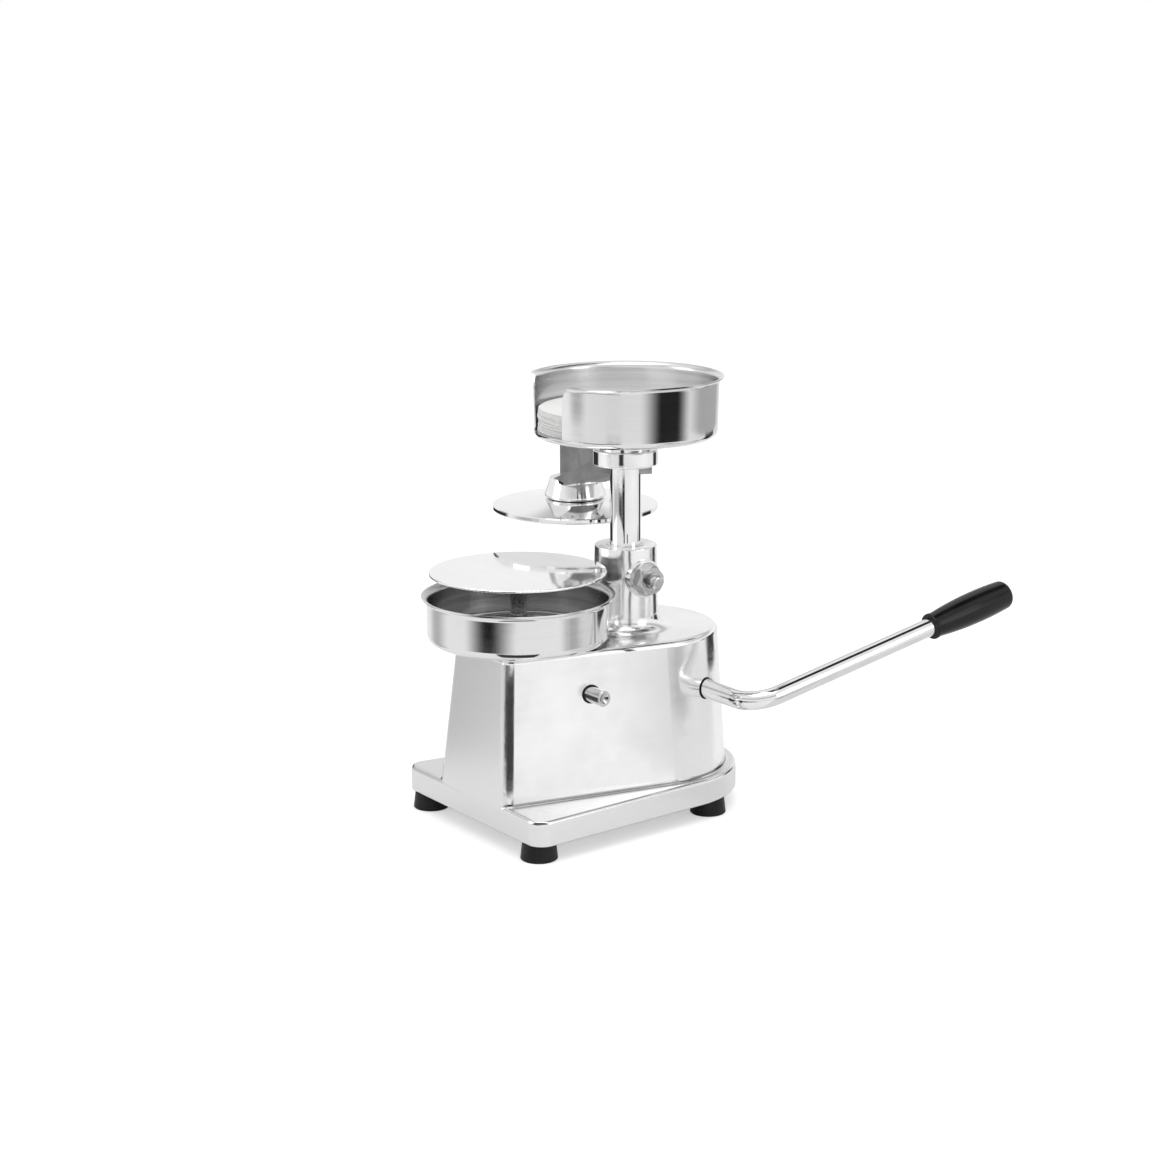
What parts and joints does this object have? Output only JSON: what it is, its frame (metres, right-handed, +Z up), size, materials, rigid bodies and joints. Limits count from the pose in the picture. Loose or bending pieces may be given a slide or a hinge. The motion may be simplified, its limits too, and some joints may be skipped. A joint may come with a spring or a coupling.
{
  "type": "patty press",
  "caption": "Hand-lever patty press: polished cast body with a forming bowl, rising ejector disc, swing-away press plate on a lifting column, and a slotted paper tray on top.",
  "frame": {"origin": "on the axis of the lifting column, at the level the feet stand on", "axes": "+Z up, +X to the side the handle comes out of, -Y to the front, where the forming bowl is"},
  "size_m": [0.2859, 0.4435, 0.325],
  "materials": {
    "polished_aluminium": "polished casting with fine brushing",
    "head_aluminium": "polished casting, as-blasted web",
    "brushed_stainless": "brushed round",
    "tray_stainless": "brushed round",
    "mirror_steel": "mirror polished",
    "polished_steel": "bright polished",
    "turned_steel": "turned",
    "zinc_steel": "zinc plated",
    "black_steel": "black oxide",
    "cast_iron_grey": "machined",
    "bronze": "machined",
    "brass_pad": "machined",
    "black_rubber": "matte",
    "black_grip": "glossy",
    "paper": "matte"
  },
  "bodies": {
    "stand": {"base_casting": "polished_aluminium", "foot_front_right": "black_rubber", "foot_front_left": "black_rubber", "foot_rear_left": "black_rubber", "foot_rear_right": "black_rubber", "foot_screws": "zinc_steel", "column_bush_upper": "turned_steel", "column_bush_lower": "bronze", "drag_pad": "brass_pad", "drag_screw": "turned_steel", "drag_washer": "turned_steel", "drag_nut": "turned_steel", "forming_bowl": "brushed_stainless", "bowl_gasket": "black_rubber", "ejector_guide": "turned_steel", "bowl_nut": "zinc_steel", "shaft_bush_right": "bronze", "shaft_bush_left": "bronze", "shaft_seal": "black_rubber", "stop_pin": "turned_steel", "stop_pin_grommet": "black_rubber", "stop_sleeve": "black_rubber", "stop_pin_clips": "black_steel"},
    "lever": {"handle_rod": "polished_steel", "handle_grip": "black_grip", "shaft_spacer": "zinc_steel", "shaft_collar": "zinc_steel", "collar_screw": "black_steel", "crank_arm": "zinc_steel", "crank_clamp_screw": "black_steel", "crank_pin": "turned_steel", "crank_clip": "black_steel"},
    "roller": {"crank_roller": "turned_steel"},
    "lift": {"lift_bracket": "cast_iron_grey", "thrust_washer": "bronze", "ejector_rod": "polished_steel", "ejector_disc": "mirror_steel", "ejector_clamp_screw": "black_steel"},
    "head": {"column": "polished_steel", "column_washer": "zinc_steel", "column_screw": "zinc_steel", "head_casting": "head_aluminium", "head_clamp_screw": "black_steel", "press_plate": "mirror_steel", "plate_screw": "turned_steel", "tray_gasket": "black_rubber", "paper_tray": "tray_stainless", "tray_screw": "turned_steel", "paper_stack": "paper"}
  },
  "joints": [
    {"name": "lever_swing", "type": "hinge", "parent": "stand", "child": "lever", "pos_m": [0, 0.03, 0.097], "axis": [1, 0, 0], "range_deg": [0, 110]},
    {"name": "roller_spin", "type": "hinge", "parent": "lever", "child": "roller", "pos_m": [0.02, 0.01425, 0.1195], "axis": [1, 0, 0], "range_deg": [-110, 0]},
    {"name": "lift_slide", "type": "slide", "parent": "stand", "child": "lift", "axis": [0, 0, 1], "range_m": [-0.045, 0]},
    {"name": "head_swing", "type": "hinge", "parent": "lift", "child": "head", "pos_m": [0, 0, 0.2], "axis": [0, 0, 1], "range_deg": [0, 102]}
  ],
  "couplings": [
    {"joint": "lift_slide", "follows": "lever_swing", "m_per_rad": -0.023438},
    {"joint": "roller_spin", "follows": "lever_swing", "ratio": -1}
  ]
}
